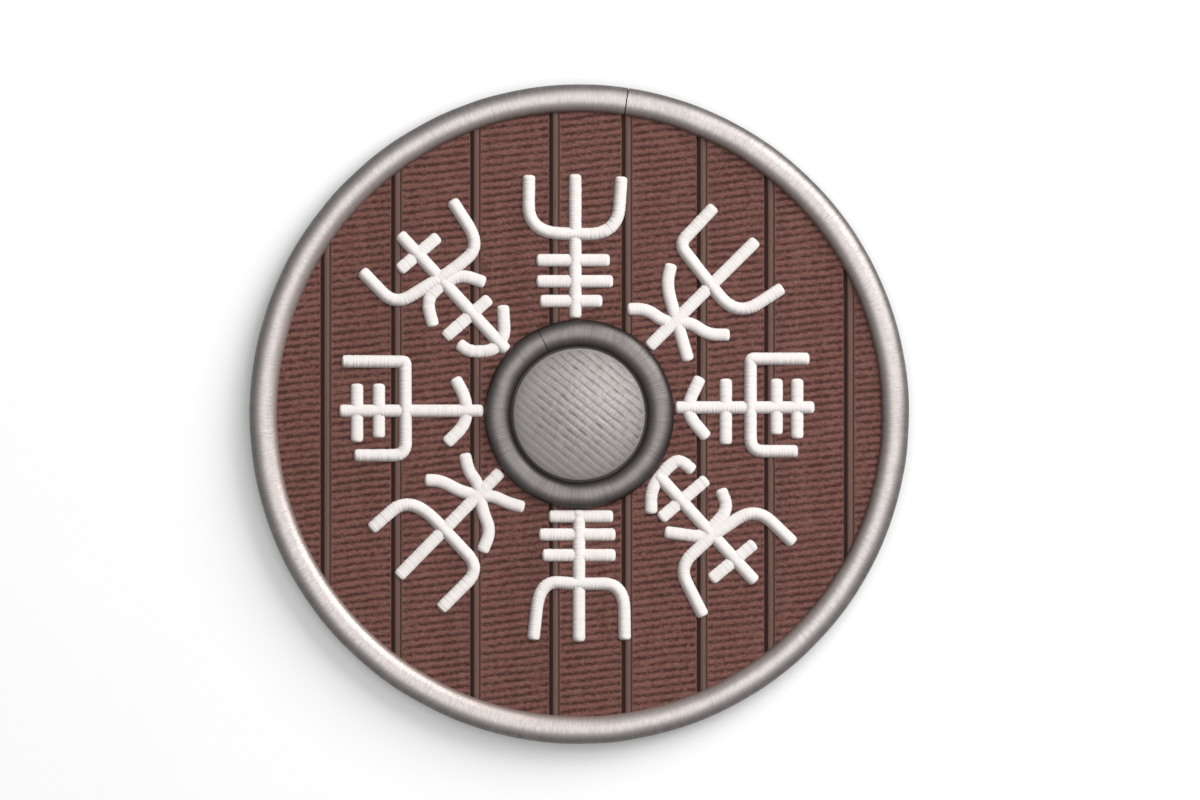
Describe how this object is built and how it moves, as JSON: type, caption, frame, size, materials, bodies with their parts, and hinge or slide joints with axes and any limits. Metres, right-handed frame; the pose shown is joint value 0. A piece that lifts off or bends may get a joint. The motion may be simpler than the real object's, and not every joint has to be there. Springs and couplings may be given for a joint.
{
  "type": "wooden round shield",
  "caption": "Round board shield with a steel rim, a domed boss in an iron ring, a grip bar behind the boss, and raised white compass staves on its face.",
  "frame": {"origin": "on the shield's axis, at the back faces of the grip bar and the battens, which are the lowest faces as it lies face up", "axes": "+Z out of the face through the top of the boss, +Y towards the top of the shield, +X to the right as the face is looked at"},
  "size_m": [0.8, 0.8, 0.082],
  "materials": {
    "board_wood": "satin",
    "back_timber": "matte",
    "rim_steel": "satin",
    "dome_steel": "satin",
    "dark_iron": "satin",
    "gesso": "matte"
  },
  "bodies": {
    "root": {"board_1": "board_wood", "board_2": "board_wood", "board_3": "board_wood", "board_4": "board_wood", "board_5_upper": "board_wood", "board_5_lower": "board_wood", "board_6": "board_wood", "board_7": "board_wood", "board_8": "board_wood", "board_9": "board_wood", "rim": "rim_steel", "boss_dome": "dome_steel", "boss_ring": "dark_iron", "rivet_1": "dark_iron", "rivet_2": "dark_iron", "rivet_3": "dark_iron", "rivet_4": "dark_iron", "rivet_5": "dark_iron", "rivet_6": "dark_iron", "stave_top": "gesso", "stave_top_right": "gesso", "stave_right": "gesso", "stave_bottom_right": "gesso", "stave_bottom": "gesso", "stave_bottom_left": "gesso", "stave_left": "gesso", "stave_top_left": "gesso", "batten_upper": "back_timber", "nail_batten_upper_1": "dark_iron", "nail_batten_upper_2": "dark_iron", "nail_batten_upper_3": "dark_iron", "nail_batten_upper_4": "dark_iron", "nail_batten_upper_5": "dark_iron", "nail_batten_upper_6": "dark_iron", "nail_batten_upper_7": "dark_iron", "batten_lower": "back_timber", "nail_batten_lower_1": "dark_iron", "nail_batten_lower_2": "dark_iron", "nail_batten_lower_3": "dark_iron", "nail_batten_lower_4": "dark_iron", "nail_batten_lower_5": "dark_iron", "nail_batten_lower_6": "dark_iron", "nail_batten_lower_7": "dark_iron", "grip": "back_timber", "nail_grip_1": "dark_iron", "nail_grip_2": "dark_iron", "nail_grip_3": "dark_iron", "nail_grip_4": "dark_iron", "nail_grip_5": "dark_iron", "nail_grip_6": "dark_iron", "nail_grip_7": "dark_iron", "nail_grip_8": "dark_iron"}
  },
  "joints": []
}
